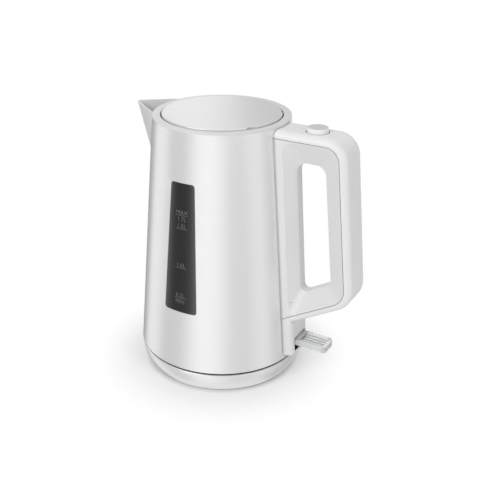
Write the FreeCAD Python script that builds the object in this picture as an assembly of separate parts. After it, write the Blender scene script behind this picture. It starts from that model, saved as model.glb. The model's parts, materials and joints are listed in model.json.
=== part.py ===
"""Cordless electric kettle: a tapered jug with a beak spout and a C handle, standing on a round power base.

Millimetres, +Z up. The origin is on the jug's axis at table level. The handle points to +X, the spout
to -X, and the water window faces -Y.
"""
import FreeCAD, Part
import math
import os

os.makedirs("parts", exist_ok=True)

V = FreeCAD.Vector

# Jug: one straight cone from its lower edge to the top ring
body_low_z = 23.0
body_low_r = 80.25
rim_z = 250.7
rim_r = 63.1
wall = 2.5
ring_side = 1.6
ring_width = 7.3
ring_skirt_depth = 16.7
edge_round = 0.6

# Lid: a crowned disc in the ring, on two pins set in from its back edge
lid_gap = 1.0
lid_rise = 1.4
lid_crown = 0.9
lid_round = 1.2
lid_thick = 1.9
lid_skirt = 3.5
plug_inset = 3.3
plug_wall = 2.0
plug_depth = 8.2
hinge_inset = 10.3
hinge_sink = 1.7
hinge_pin_r = 0.9
scallop_r = 9.4
scallop_depth = 1.5
scallop_shift = 1.0

# Spout: a beak whose ridge runs from a point on the wall up to the tip
spout_depth = 86.7
spout_reach = 30.3
spout_tip_round = 4.0
spout_mid = (8.9, 18.7)
spout_root = (-11.1, 31.5)
spout_drop = 1.5
spout_wall = 2.0
spout_hole_rise = 22.0
spout_hole_rim = 3.0
filter_thick = 1.5
filter_slot = 2.0
filter_pitch = 5.0

# Water window, a tapered pane in the -Y wall
window_low_z = 81.0
window_top_z = 204.5
window_low_half = 17.25
window_top_half = 12.0
window_round = 3.0
window_sink = 0.35
window_flange = 4.0

# Handle: three straight stretches of a C, each thick by its own depth
handle_half = 17.0
handle_drop = 2.4
grip_x = 131.1
grip_z = 217.0
grip_lean = 0.1034
low_arm_x = 86.8
low_arm_z = 65.0
low_arm_rise = 0.583
handle_top_round = 20.0
handle_low_round = 25.0
handle_edge_round = 6.0
cover_thick = 6.5
top_arm_depth = 28.3
grip_depth = 24.4
low_arm_depth = 22.6
finger_band_half = 5.0
column_proud = 13.3
column_side_proud = 5.6
bevel_lip = 1.2
groove_wide = 0.6
groove_deep = 0.5
finger_rounds = (9.0, 9.5, 6.0, 5.0)
foot_column_proud = 8.4
foot_column_z = 29.0
foot_column_round = 5.0
handle_screw_x = (100.0, 118.0)
handle_screw_r = 1.5
handle_screw_head_r = 3.0

# Lid button and the slider that it wedges back
button_x = 95.0
button_top_r = 9.0
button_low_r = 9.8
button_proud = 4.1
button_flange = 1.6
button_flange_thick = 1.4
button_skin = 1.3
button_stem_half = 4.0
button_travel = 3.0
slider_half = 6.0
slider_thick = 4.0
slider_sink = 12.8
slider_nose_thick = 3.0
wedge_gap = 0.3

# Steam tube and steam switch inside the column
steam_tube_r = 2.6
steam_tube_wall = 0.8
steam_tube_proud = 5.2
steam_switch_z = (48.0, 64.0)
steam_switch_half = 9.0
steam_switch_proud = 7.0

# Switch lever
lever_half = 10.0
lever_reach = 34.2
lever_root = 2.6
lever_z = 41.0
lever_thick = 6.0
lever_pin_r = 1.5
lever_pin_proud = 4.9
lever_rib_pitch = 4.0
lever_wall = 2.0
lever_room = (6.0, 1.2)

# Power base
base_floor_inset = 6.75
base_edge_inset = 0.45
base_edge_z = 18.5
base_top_z = 20.6
tray_z = 18.3
tray_inset = 8.8
base_wall = 2.5
base_foot_z = 1.0
base_foot_r = 7.0
base_plate_thick = 2.0
base_screw_angles = (30, 150, 270)
column_r = 14.0
column_top_z = 27.5
groove_r = (6.0, 8.5)
groove_low_z = 17.0
centre_hole_r = 2.6
shutter_width = 4.6
gland_z = 8.5
gland_r = 4.5
gland_bore_r = 2.6

# Underside of the jug
foot_ring_width = 6.0
floor_gap = 2.7
band_inset = 0.3
floor_thick = 2.5
seal_low_z = 38.0
seal_ledge = 2.0
seal_top_z = 43.0
seal_width = 4.0
plate_thick = 1.5
element_inset = 27.4
element_half = 4.0
bottom_screw_angles = (60, 180, 300)

# Clearances
fit = 0.1
running = 0.05
loose = 0.4


def cone_r(z, inset=0.0):
    """Radius of the jug's outer cone at a height, less an inset."""
    slope = (rim_r - body_low_r) / (rim_z - body_low_z)
    return body_low_r + slope * (z - body_low_z) - inset


# Sizes that follow from the ones above
shell_top_z = rim_z - ring_side
ring_inner_r = rim_r - ring_width
ring_skirt_z = rim_z - ring_skirt_depth
ring_skirt_r = cone_r(rim_z, wall + 0.6)
lid_r = ring_inner_r - lid_gap
lid_rim_z = rim_z + lid_rise
lid_crown_z = lid_rim_z + lid_crown
lid_under_z = lid_rim_z - lid_thick
lid_skirt_z = lid_rim_z - lid_skirt
plug_r = lid_r - plug_inset
plug_low_z = lid_under_z - plug_depth
hinge_x = ring_inner_r - hinge_inset
hinge_z = rim_z - hinge_sink
hinge_end_y = math.sqrt(ring_inner_r ** 2 - hinge_x ** 2)
hinge_pin_y = (math.sqrt(plug_r ** 2 - hinge_x ** 2) - 5, hinge_end_y + 3.7)
spout_rim_z = rim_z - spout_drop
spout_foot_z = rim_z - spout_depth
filter_top_z = ring_skirt_z - loose
spout_hole_z = (spout_foot_z + spout_hole_rise, filter_top_z - spout_hole_rim)
spout_tip_x = -(rim_r + spout_reach)
handle_top_z = rim_z - handle_drop
handle_root_x = ring_inner_r - 1
button_flange_r = button_low_r + button_flange
button_top_z = handle_top_z + button_proud
button_flange_top_z = handle_top_z - button_skin - loose
button_flange_low_z = button_flange_top_z - button_flange_thick
slider_low_z = handle_top_z - slider_sink
slider_top_z = slider_low_z + slider_thick
slider_nose_z = rim_z - ring_side - 3
slider_nose_x = ring_inner_r + 0.5
slider_end_x = button_x + 9
slider_room_low_z = slider_low_z - button_stem_half - button_travel - 1
lever_low_z = lever_z - lever_thick / 2
lever_top_z = lever_z + lever_thick / 2
lever_pin_x = cone_r(lever_z) + lever_pin_proud
lever_tip_x = lever_pin_x + lever_reach
lever_slot_half = lever_half + 1
lever_slot_z = (lever_low_z - lever_room[0], lever_top_z + lever_room[1])
lever_pin_half = lever_slot_half + 2
base_floor_r = body_low_r - base_floor_inset
base_edge_r = body_low_r - base_edge_inset
base_plate_z = base_foot_z + base_plate_thick
base_screw_r = base_floor_r - 18.5
base_foot_ring_r = base_floor_r - 13.5
tray_r = base_edge_r - tray_inset
tray_low_z = tray_z - base_wall
shutter_r = column_r + shutter_width
foot_ring_r = (tray_r - 3 - foot_ring_width, tray_r - 3)
floor_low_z = tray_z + floor_gap
floor_top_z = floor_low_z + floor_thick
socket_r = column_r + 10.4
socket_top_z = column_top_z + 8.5
bottom_screw_r = (socket_r + foot_ring_r[0]) / 2 + 6
plate_z = seal_low_z + seal_ledge
plate_r = cone_r(plate_z, wall + seal_width)
element_r = plate_r - element_inset


def outline(steps, place):
    """Closed wire; a step is a point, or a pair of a point on the way and an end point for an arc."""
    edges = []
    last = place(*steps[0])
    for step in steps[1:] + [steps[0]]:
        if isinstance(step[0], tuple):
            way, end = place(*step[0]), place(*step[1])
            edges.append(Part.Arc(last, way, end).toShape())
        else:
            end = place(*step)
            edges.append(Part.LineSegment(last, end).toShape())
        last = end
    return Part.Wire(edges)


def rounded(corners, radii):
    """Steps of a polygon with each corner rounded by its own radius."""
    steps = []
    for i, (corner, radius) in enumerate(zip(corners, radii)):
        if radius == 0:
            steps.append(corner)
            continue
        here = V(corner[0], corner[1], 0)
        back = V(corners[i - 1][0], corners[i - 1][1], 0).sub(here).normalize()
        ahead_corner = corners[(i + 1) % len(corners)]
        ahead = V(ahead_corner[0], ahead_corner[1], 0).sub(here).normalize()
        half = back.getAngle(ahead) / 2
        reach = radius / math.tan(half)
        inward = back.add(ahead).normalize()
        start = here.add(back * reach)
        way = here.add(inward * (radius / math.sin(half) - radius))
        end = here.add(ahead * reach)
        steps.append((start.x, start.y))
        steps.append(((way.x, way.y), (end.x, end.y)))
    return steps


def turned(steps, angle=360):
    """Solid of revolution about Z from a closed outline of (radius, height) steps."""
    face = Part.Face(outline(steps, lambda r, z: V(r, 0, z)))
    return face.revolve(V(0, 0, 0), V(0, 0, 1), angle)


def side_prism(steps, y0, y1):
    """Prism across the kettle, from an outline of (x, z) steps."""
    face = Part.Face(outline(steps, lambda x, z: V(x, y0, z)))
    return face.extrude(V(0, y1 - y0, 0))


def front_prism(steps, x0, x1):
    """Prism along X, from an outline of (y, z) steps."""
    face = Part.Face(outline(steps, lambda y, z: V(x0, y, z)))
    return face.extrude(V(x1 - x0, 0, 0))


def block(x, y, z):
    """Box between three pairs of limits."""
    corner = V(x[0], y[0], z[0])
    return Part.makeBox(x[1] - x[0], y[1] - y[0], z[1] - z[0], corner)


def rod(radius, start, end):
    """Round rod from one point to another."""
    along = end.sub(start)
    return Part.makeCylinder(radius, along.Length, start, along)


def cone_wall(low_z, top_z, outer, inner):
    """Ring of the jug's cone between two heights and two insets from its outer face."""
    return turned([
        (cone_r(low_z, inner), low_z),
        (cone_r(low_z, outer), low_z),
        (cone_r(top_z, outer), top_z),
        (cone_r(top_z, inner), top_z),
    ])


def cut_all(shape, cutters):
    """Cut several solids from one."""
    return shape.cut(Part.makeCompound(cutters))


def at_angles(shape, degrees):
    """Copies of a shape turned about the kettle's axis."""
    copies = []
    for angle in degrees:
        copy = shape.copy()
        copy.rotate(V(0, 0, 0), V(0, 0, 1), angle)
        copies.append(copy)
    return copies


def fuse_all(shapes):
    """One solid from several that touch or cross."""
    return shapes[0].multiFuse(shapes[1:]).removeSplitter()


parts = {}
above_z = rim_z + 20
envelope = turned([(0, -10), (cone_r(-10), -10), (cone_r(above_z), above_z), (0, above_z)])


# Water window

def window_prism(grow):
    """Cutter for the window's outline, grown on all sides."""
    low = (window_low_half + grow, window_low_z - grow)
    top = (window_top_half + grow, window_top_z + grow)
    corners = [(-low[0], low[1]), low, top, (-top[0], top[1])]
    return side_prism(rounded(corners, [window_round + grow] * 4), -2 * body_low_r, 0)


def water_window():
    """Smoked pane sunk a little in the wall, with a flange that seats against its inner face."""
    span = (window_low_z - 2 * window_flange, window_top_z + 2 * window_flange)
    pane = cone_wall(span[0], span[1], window_sink, wall + filter_thick).common(window_prism(-fit))
    flange = cone_wall(span[0], span[1], wall, wall + filter_thick).common(window_prism(window_flange))
    return fuse_all([pane, flange])


# Spout

def spout_wire(z):
    """Plan outline of the beak at its rim, closed inside the jug."""
    tip_x = spout_tip_x + 0.775 * spout_tip_round
    mid_x, mid_y = -rim_r - spout_mid[0], spout_mid[1]
    root_x, root_y = -rim_r - spout_root[0], spout_root[1]
    steps = [
        (root_x, root_y),
        ((mid_x, mid_y), (tip_x, spout_tip_round)),
        ((spout_tip_x, 0), (tip_x, -spout_tip_round)),
        ((mid_x, -mid_y), (root_x, -root_y)),
    ]
    return outline(steps, lambda x, y: V(x, y, z))


def spout_outside():
    """Full beak from its foot on the wall to its rim."""
    foot = Part.Vertex(V(-cone_r(spout_foot_z, 0.6), 0, spout_foot_z))
    return Part.makeLoft([foot, spout_wire(spout_rim_z)], True, True)


def spout_pocket():
    """Channel inside the beak, open at the rim and into the jug."""
    rim = Part.Face(spout_wire(spout_rim_z)).makeOffset2D(-spout_wall).OuterWire
    foot_z = spout_foot_z + 4 * spout_wall
    foot = Part.Vertex(V(-cone_r(foot_z, 1.25 * spout_wall), 0, foot_z))
    return Part.makeLoft([foot, rim], True, True)


def spout_filter():
    """Slotted panel against the inside of the wall, over the spout's hole."""
    low_z = spout_hole_z[0] - 2 * spout_hole_rim
    panel = cone_wall(low_z, filter_top_z, wall + fit, wall + fit + filter_thick)
    half = spout_root[1] - 4.5
    tall = rounded([(-9, low_z), (9, low_z), (half, filter_top_z), (-half, filter_top_z)], [2] * 4)
    panel = panel.common(front_prism(tall, spout_tip_x, 0))
    slots = []
    for k in range(-4, 5):
        slot_low = spout_hole_z[0] + 2 + 1.6 * filter_pitch * abs(k)
        y = k * filter_pitch
        width = (y - filter_slot / 2, y + filter_slot / 2)
        slots.append(block((spout_tip_x, 0), width, (slot_low, spout_hole_z[1] - spout_hole_rim)))
    return cut_all(panel, slots)


# Handle

def c_corners(top_in, grip_in, low_in):
    """The two corners of the C, with each straight stretch moved in by its own depth."""
    lean = math.hypot(1, grip_lean)
    rise = math.hypot(1, low_arm_rise)
    top_z = handle_top_z - top_in
    top_x = grip_x - grip_lean * (top_z - grip_z) - grip_in * lean
    low_level = low_arm_z - low_arm_rise * low_arm_x + low_in * rise
    reach = grip_x - grip_lean * (low_level - grip_z) - grip_in * lean
    low_x = reach / (1 + grip_lean * low_arm_rise)
    low_z = low_level + low_arm_rise * low_x
    root_z = low_level + low_arm_rise * handle_root_x
    return (top_x, top_z), (low_x, low_z), root_z


def c_steps(depth):
    """Side outline of the handle's C and all that it encloses, closed inside the jug."""
    top, low, root_z = c_corners(depth, depth, depth)
    corners = [(handle_root_x, root_z), low, top, (handle_root_x, top[1])]
    return rounded(corners, [0, handle_low_round - depth, handle_top_round - depth, 0])


def finger_wire(y, top_in, grip_in, low_in, proud, radii):
    """Outline of the finger opening at one distance from the middle plane."""
    top, low, _ = c_corners(top_in, grip_in, low_in)
    column_top = (cone_r(top[1], -proud), top[1])
    slope = (cone_r(0) - cone_r(100)) / 100
    low_line = low[1] - low_arm_rise * low[0]
    foot_x = (cone_r(0, -proud) - slope * low_line) / (1 + slope * low_arm_rise)
    column_foot = (foot_x, low_line + low_arm_rise * foot_x)
    return outline(rounded([column_top, top, low, column_foot], radii), lambda x, z: V(x, y, z))


def finger_opening():
    """Through hole for the fingers, a straight band in the middle and a wide bevel to each side."""
    lip = cover_thick + bevel_lip
    wide = [r + grow for r, grow in zip(finger_rounds, (2.0, 4.0, 10.0, 1.0))]
    depths = (top_arm_depth, grip_depth, low_arm_depth, column_proud)
    middle = finger_wire(-finger_band_half, *depths, finger_rounds)
    solids = [Part.Face(middle).extrude(V(0, 2 * finger_band_half, 0))]
    for side in (-1, 1):
        band = finger_wire(side * finger_band_half, *depths, finger_rounds)
        face = finger_wire(side * handle_half, lip, lip, lip, column_side_proud, wide)
        solids.append(Part.makeLoft([band, face], True, True))
    return solids


def foot_column():
    """Lower end of the handle's column, below the lower arm, down to the switch."""
    top_z = low_arm_z + 20
    steps = [
        (handle_root_x, foot_column_z),
        (cone_r(foot_column_z, -foot_column_proud), foot_column_z),
        (cone_r(top_z, -foot_column_proud), top_z),
        (handle_root_x, top_z),
    ]
    column = side_prism(steps, -handle_half, handle_half)
    front = [e for e in column.Edges if e.BoundBox.YLength < 1e-6 and e.BoundBox.XMin > cone_r(top_z)]
    return column.makeFillet(foot_column_round, front)


def handle_screw_places():
    """Axes of the two screws that hold the cover to the lower arm: head, and direction into the arm."""
    into = V(-low_arm_rise, 0, 1).normalize()
    places = []
    for x in handle_screw_x:
        head = V(x, 0, low_arm_z + low_arm_rise * (x - low_arm_x)).add(into * 2)
        places.append((head, into))
    return places


def handle_cover():
    """Outer shell of the handle: the back of the C, rounded across its width, bored for the button."""
    solid = side_prism(c_steps(0), -handle_half, handle_half)
    rim = [e for e in solid.Edges if e.BoundBox.YLength < 1e-6 and e.BoundBox.XMax > handle_root_x + 1]
    solid = solid.makeFillet(handle_edge_round, rim)
    cutters = [
        side_prism(c_steps(cover_thick), -2 * handle_half, 2 * handle_half),
        rod(button_low_r + loose, V(button_x, 0, slider_low_z), V(button_x, 0, above_z)),
        rod(button_flange_r + loose, V(button_x, 0, slider_low_z), V(button_x, 0, button_flange_top_z + loose)),
    ]
    for head, into in handle_screw_places():
        cutters.append(rod(handle_screw_head_r + fit, head.sub(into * 8), head))
        cutters.append(rod(handle_screw_r + fit, head.sub(into), head.add(into * 12)))
    solid = cut_all(solid, cutters)
    return solid.cut(foot_column()).cut(envelope)


def handle_inner():
    """Inner half of the handle with the column along the jug, the finger opening and the switch's slot."""
    solid = side_prism(c_steps(cover_thick), -handle_half, handle_half)
    solid = cut_all(solid, finger_opening())
    solid = fuse_all([solid, foot_column()])
    half = slider_half + loose
    channel_x = (handle_root_x, slider_end_x + button_travel + 1)
    cutters = [
        block(channel_x, (-half, half), (slider_room_low_z, handle_top_z)),
        block((0, lever_tip_x), (-lever_slot_half, lever_slot_half), lever_slot_z),
        lever_pin(),
        rod(steam_tube_r, *steam_tube_ends()),
        steam_switch(),
    ] + parting_grooves()
    for head, into in handle_screw_places():
        cutters.append(rod(handle_screw_r, head.sub(into), head.add(into * 12)))
    return cut_all(solid, cutters).cut(envelope)


def parting_grooves():
    """Shadow groove on each side where the inner half meets the cover."""
    grooves = []
    for side in (-1, 1):
        near = side * (handle_half - groove_deep)
        far = side * (handle_half + groove_deep)
        band = side_prism(c_steps(cover_thick), near, far)
        grooves.append(band.cut(side_prism(c_steps(cover_thick + groove_wide), near, far)))
    return grooves


def handle_screws():
    """Two screws up into the lower arm."""
    screws = []
    for head, into in handle_screw_places():
        top = rod(handle_screw_head_r, head.sub(into * 1.8), head)
        screws.append(fuse_all([top, rod(handle_screw_r, head, head.add(into * 11))]))
    return Part.makeCompound(screws)


# Steam path and switch inside the column

def steam_tube_ends():
    """Ends of the steam tube, along the column."""
    low_z = steam_switch_z[1] + 0.3
    top_z = handle_top_z - top_arm_depth + 2
    return (V(cone_r(low_z, -steam_tube_proud), 0, low_z), V(cone_r(top_z, -steam_tube_proud), 0, top_z))


def steam_tube():
    """Thin tube that leads steam down to the switch."""
    start, end = steam_tube_ends()
    return rod(steam_tube_r, start, end).cut(rod(steam_tube_r - steam_tube_wall, start, end))


def steam_switch():
    """Flat box of the steam switch, in its pocket in the column."""
    low_z, top_z = steam_switch_z
    depth = (cone_r(low_z, -0.8), cone_r(top_z, -steam_switch_proud))
    return block(depth, (-steam_switch_half, steam_switch_half), (low_z, top_z))


# Lid, ring and hinge

def hinge_pins(radius):
    """Two short pins on the lid's hinge axis."""
    low_y, top_y = hinge_pin_y
    return [rod(radius, V(hinge_x, s * low_y, hinge_z), V(hinge_x, s * top_y, hinge_z)) for s in (-1, 1)]


def hinge_scallops():
    """Shallow hollows in the lid's rim over the pins, where it swings past the ring."""
    turn = math.acos((hinge_x + scallop_shift) / lid_r)
    reach = lid_r - scallop_depth + scallop_r
    scallops = []
    for s in (-1, 1):
        foot = V(reach * math.cos(turn), s * reach * math.sin(turn), plug_low_z)
        scallops.append(rod(scallop_r, foot, V(foot.x, foot.y, above_z)))
    return scallops


def top_ring():
    """Ring on the jug's rim, with a skirt inside, pockets for the hinge pins and a slot for the slider."""
    side_z = rim_z - edge_round
    ring = turned([
        (ring_inner_r, ring_skirt_z),
        (ring_skirt_r, ring_skirt_z),
        (ring_skirt_r, shell_top_z),
        (cone_r(shell_top_z), shell_top_z),
        (cone_r(side_z), side_z),
        ((cone_r(side_z) - 0.3 * edge_round, rim_z - 0.3 * edge_round), (cone_r(rim_z, edge_round), rim_z)),
        (ring_inner_r + edge_round, rim_z),
        ((ring_inner_r + 0.3 * edge_round, rim_z - 0.3 * edge_round), (ring_inner_r, side_z)),
    ])
    half = slider_half + loose
    nose = block((hinge_x, rim_r), (-half, half), (slider_low_z - loose, slider_nose_z + loose))
    return cut_all(ring, hinge_pins(hinge_pin_r + running) + [nose])


def lid_cover():
    """Slightly crowned lid with a rounded rim and a short skirt."""
    shoulder_r = lid_r - lid_round
    turn = lid_round * math.sqrt(0.5)
    shoulder_z = lid_rim_z - lid_round
    cover = turned([
        (0, lid_under_z),
        (lid_r - 2, lid_under_z),
        (lid_r - 2, lid_skirt_z),
        (lid_r, lid_skirt_z),
        (lid_r, shoulder_z),
        ((shoulder_r + turn, shoulder_z + turn), (shoulder_r, lid_rim_z)),
        ((shoulder_r / 2, lid_crown_z - (lid_crown_z - lid_rim_z) / 4), (0, lid_crown_z)),
    ])
    return cut_all(cover, hinge_pins(hinge_pin_r) + hinge_scallops())


def lid_plug():
    """Inner cup of the lid."""
    inner_r = plug_r - plug_wall
    plug = turned([
        (0, plug_low_z),
        (plug_r - 2, plug_low_z),
        ((plug_r - 0.6, plug_low_z + 0.6), (plug_r, plug_low_z + 2)),
        (plug_r, lid_under_z),
        (inner_r, lid_under_z),
        (inner_r, plug_low_z + plug_wall),
        (0, plug_low_z + plug_wall),
    ])
    return cut_all(plug, hinge_pins(hinge_pin_r))


def lid_seal():
    """Soft ring round the lid's cup."""
    low_z = plug_low_z + 3
    edge_r = plug_r + plug_inset / 2
    return turned([(plug_r, low_z), (edge_r, low_z + 0.6), (edge_r, low_z + 1.4), (plug_r, low_z + 2)])


# Button and slider

def wedge_line(x, drop):
    """Height of the 45 degree wedge faces at x, lowered by a gap."""
    return slider_low_z + (x - button_x) - drop


def lid_button():
    """Round push button with a retaining flange and a stem that ends in a wedge."""
    cap = turned([
        (0, button_flange_low_z),
        (button_flange_r, button_flange_low_z),
        (button_flange_r, button_flange_top_z),
        (button_low_r, button_flange_top_z),
        (button_top_r, button_top_z - 0.5),
        ((button_top_r - 0.2, button_top_z - 0.1), (button_top_r - 0.6, button_top_z)),
        (0, button_top_z),
    ])
    cap.translate(V(button_x, 0, 0))
    left = button_x - button_stem_half
    right = button_x + button_stem_half
    rest = math.sqrt(2) * wedge_gap
    foot = [(left, wedge_line(left, -rest)), (right, wedge_line(right, -rest))]
    head = [(right, button_flange_low_z), (left, button_flange_low_z)]
    stem = side_prism(foot + head, -button_stem_half, button_stem_half)
    return fuse_all([cap, stem])


def release_slider():
    """Slider under the button: a bar with a wedge window and a nose that reaches up beside the lid."""
    bar = block((slider_nose_x, slider_end_x), (-slider_half, slider_half), (slider_low_z, slider_top_z))
    nose = block((slider_nose_x, slider_nose_x + slider_nose_thick), (-slider_half, slider_half),
                 (slider_low_z, slider_nose_z))
    thick = slider_top_z - slider_low_z
    start = button_x - button_stem_half - button_travel - 0.6
    half = button_stem_half + loose
    window = side_prism([(start, slider_low_z - 1), (button_x - 1, slider_low_z - 1),
                         (button_x + thick + 1, slider_top_z + 1), (start, slider_top_z + 1)], -half, half)
    return fuse_all([bar, nose]).cut(window)


# Switch lever

def switch_lever():
    """Flat paddle with a tray in its top, ribs along the tray, a lip and a barrel on its pin."""
    root_x = lever_pin_x - lever_root
    left, right = -lever_half, lever_half
    corners = [(root_x, left), (lever_tip_x, left), (lever_tip_x, right), (root_x, right)]
    plan = rounded(corners, [0, 2 * lever_wall, 2 * lever_wall, 0])
    face = Part.Face(outline(plan, lambda x, y: V(x, y, lever_low_z)))
    paddle = face.extrude(V(0, 0, lever_top_z - lever_low_z))
    tray_x = (lever_pin_x + 7, lever_tip_x - lever_wall - 1)
    tray_y = (-lever_half + lever_wall, lever_half - lever_wall)
    tray = block(tray_x, tray_y, (lever_z, lever_top_z + 1))
    hole = rod(lever_pin_r + running, V(lever_pin_x, left, lever_z), V(lever_pin_x, right, lever_z))
    paddle = cut_all(paddle, [tray, hole])
    ribs = []
    for y in (-lever_rib_pitch, 0, lever_rib_pitch):
        long = (tray_x[0] - 0.5, tray_x[1] + 0.5)
        ribs.append(block(long, (y - 0.6, y + 0.6), (lever_z - 0.5, lever_z + 1.2)))
    return fuse_all([paddle] + ribs)


def lever_pin():
    """Pin across the switch's slot."""
    return rod(lever_pin_r, V(lever_pin_x, -lever_pin_half, lever_z), V(lever_pin_x, lever_pin_half, lever_z))


# Underside of the jug

def bottom_cover():
    """Floor of the jug with a band below the wall, a foot ring, a socket hole and a rim for the plate's seal."""
    low_z = body_low_z - running
    inset = wall + fit
    cover = turned([
        (socket_r + fit, floor_low_z),
        (foot_ring_r[0], floor_low_z),
        (foot_ring_r[0], tray_z),
        (foot_ring_r[1], tray_z),
        (foot_ring_r[1], floor_low_z),
        (cone_r(low_z, band_inset) - 0.6, floor_low_z),
        (cone_r(low_z, band_inset), floor_low_z + 0.6),
        (cone_r(low_z, band_inset), low_z),
        (cone_r(low_z, inset), low_z),
        (cone_r(seal_low_z, inset), seal_low_z),
        (cone_r(seal_low_z, inset + wall), seal_low_z),
        (cone_r(floor_top_z, inset + wall), floor_top_z),
        (socket_r + fit, floor_top_z),
    ])
    bore = rod(handle_screw_r + fit, V(bottom_screw_r, 0, tray_z), V(bottom_screw_r, 0, seal_low_z))
    return cut_all(cover, at_angles(bore, bottom_screw_angles))


def plate_seal():
    """Soft seal between the heating plate and the wall."""
    return turned([
        (plate_r - 6, seal_low_z),
        (cone_r(seal_low_z, wall + running), seal_low_z),
        (cone_r(seal_top_z, wall + running), seal_top_z),
        (plate_r + running, seal_top_z),
        (plate_r + running, plate_z),
        (plate_r - 6, plate_z),
    ])


def heating_plate():
    """Steel floor of the water chamber with a shallow pressed step."""
    top = plate_z + plate_thick
    return turned([
        (0, plate_z),
        (plate_r, plate_z),
        (plate_r, top),
        (plate_r - 8, top),
        (plate_r - 9.5, top + 1),
        (0, top + 1),
    ])


def heating_element():
    """Open ring of element under the plate, with two terminals."""
    low = plate_z - element_half
    ring = turned([
        (element_r - element_half, plate_z),
        (element_r - element_half, low),
        ((element_r, low - element_half), (element_r + element_half, low)),
        (element_r + element_half, plate_z),
    ], 300)
    ends = []
    for angle in (8, 292):
        turn = math.radians(angle)
        spot = V(element_r * math.cos(turn), element_r * math.sin(turn), low - 8)
        ends.append(rod(2, spot, spot.add(V(0, 0, 8))))
    return fuse_all([ring] + ends)


def socket_body():
    """Moulded socket in the middle of the jug's floor, over the base's column."""
    bore_r = column_r + 0.6
    body = turned([
        (bore_r, floor_low_z + 0.3),
        (socket_r, floor_low_z + 0.3),
        (socket_r, floor_top_z),
        (socket_r + 4, floor_top_z),
        (socket_r + 4, floor_top_z + 2),
        (socket_r, floor_top_z + 2),
        (socket_r, socket_top_z),
        (0, socket_top_z),
        (0, column_top_z + 1.1),
        (bore_r, column_top_z + 1.1),
    ])
    return body.cut(socket_contacts())


def socket_contacts():
    """Centre pin and ring blade of the socket."""
    pin = rod(centre_hole_r / 2, V(0, 0, base_edge_z / 2), V(0, 0, socket_top_z - 3))
    middle_r = (groove_r[0] + groove_r[1]) / 2
    low_z = groove_low_z + 2 + loose
    top_z = socket_top_z - 4
    inner_r, outer_r = middle_r - loose, middle_r + loose
    blade = turned([(inner_r, low_z), (outer_r, low_z), (outer_r, top_z), (inner_r, top_z)])
    return Part.makeCompound([pin, blade])


def bottom_screws():
    """Three screws up through the jug's floor, heads down."""
    head_r = 2 * handle_screw_r
    head_z = floor_low_z - 1.8
    top_z = floor_top_z + 6.5
    solid = turned([
        (0, head_z), (head_r - 0.6, head_z), (head_r, head_z + 0.6), (head_r, floor_low_z),
        (handle_screw_r, floor_low_z), (handle_screw_r, top_z), (0, top_z),
    ])
    solid.translate(V(bottom_screw_r, 0, 0))
    return Part.makeCompound(at_angles(solid, bottom_screw_angles))


# Power base

def base_cover():
    """Bowl-shaped cover of the power base with a shallow tray, a hole for the column and screw bosses."""
    inner_top = base_top_z - base_wall
    bulge_z = (base_foot_z + base_edge_z) / 2 - 0.75
    bulge_r = base_floor_r + 0.7 * (base_edge_r - base_floor_r)
    cover = turned([
        (base_floor_r - 2, base_foot_z),
        (base_floor_r, base_foot_z),
        ((bulge_r, bulge_z), (base_edge_r, base_edge_z)),
        ((base_edge_r - 0.35, base_top_z - 0.6), (base_edge_r - 1.5, base_top_z)),
        (tray_r + 3, base_top_z),
        (tray_r, tray_z),
        (shutter_r + loose, tray_z),
        (shutter_r + loose, tray_low_z),
        (tray_r - 1, tray_low_z),
        (tray_r + 2, inner_top),
        (base_edge_r - base_wall, inner_top),
        ((bulge_r - base_wall, bulge_z), (base_floor_r - 2, base_plate_z)),
    ])
    boss = rod(2 * handle_screw_r + 1, V(base_screw_r, 0, base_plate_z), V(base_screw_r, 0, tray_z - 1))
    bore = rod(handle_screw_r, V(base_screw_r, 0, 0), V(base_screw_r, 0, base_plate_z + 8.2))
    gland = rod(gland_r, V(0, tray_r - 9, gland_z), V(0, 2 * tray_r, gland_z))
    bosses = at_angles(boss, base_screw_angles)
    return cut_all(fuse_all([cover] + bosses), at_angles(bore, base_screw_angles) + [gland])


def base_plate():
    """Floor plate of the power base with screw holes."""
    edge_r = base_floor_r - 2 - fit
    plate = turned([(0, base_foot_z), (edge_r, base_foot_z), (edge_r, base_plate_z), (0, base_plate_z)])
    sink = rod(handle_screw_head_r + fit, V(base_screw_r, 0, 0), V(base_screw_r, 0, base_foot_z + 1.2))
    shank = rod(handle_screw_r + fit, V(base_screw_r, 0, 0), V(base_screw_r, 0, base_plate_z + 1))
    return cut_all(plate, at_angles(sink, base_screw_angles) + at_angles(shank, base_screw_angles))


def base_screws():
    """Three screws under the base."""
    seat = V(base_screw_r, 0, base_foot_z + 1.2)
    head = rod(handle_screw_head_r, V(base_screw_r, 0, base_foot_z + fit), seat)
    solid = fuse_all([head, rod(handle_screw_r, seat, V(base_screw_r, 0, base_plate_z + 8))])
    return Part.makeCompound(at_angles(solid, base_screw_angles))


def base_feet():
    """Four soft pads under the base."""
    edge_z = 0.4 * base_foot_z
    edge = [(base_foot_r - edge_z, 0), (base_foot_r, edge_z), (base_foot_r, base_foot_z)]
    pad = turned([(0, 0)] + edge + [(0, base_foot_z)])
    pad.translate(V(base_foot_ring_r, 0, 0))
    return Part.makeCompound(at_angles(pad, (0, 90, 180, 270)))


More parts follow.
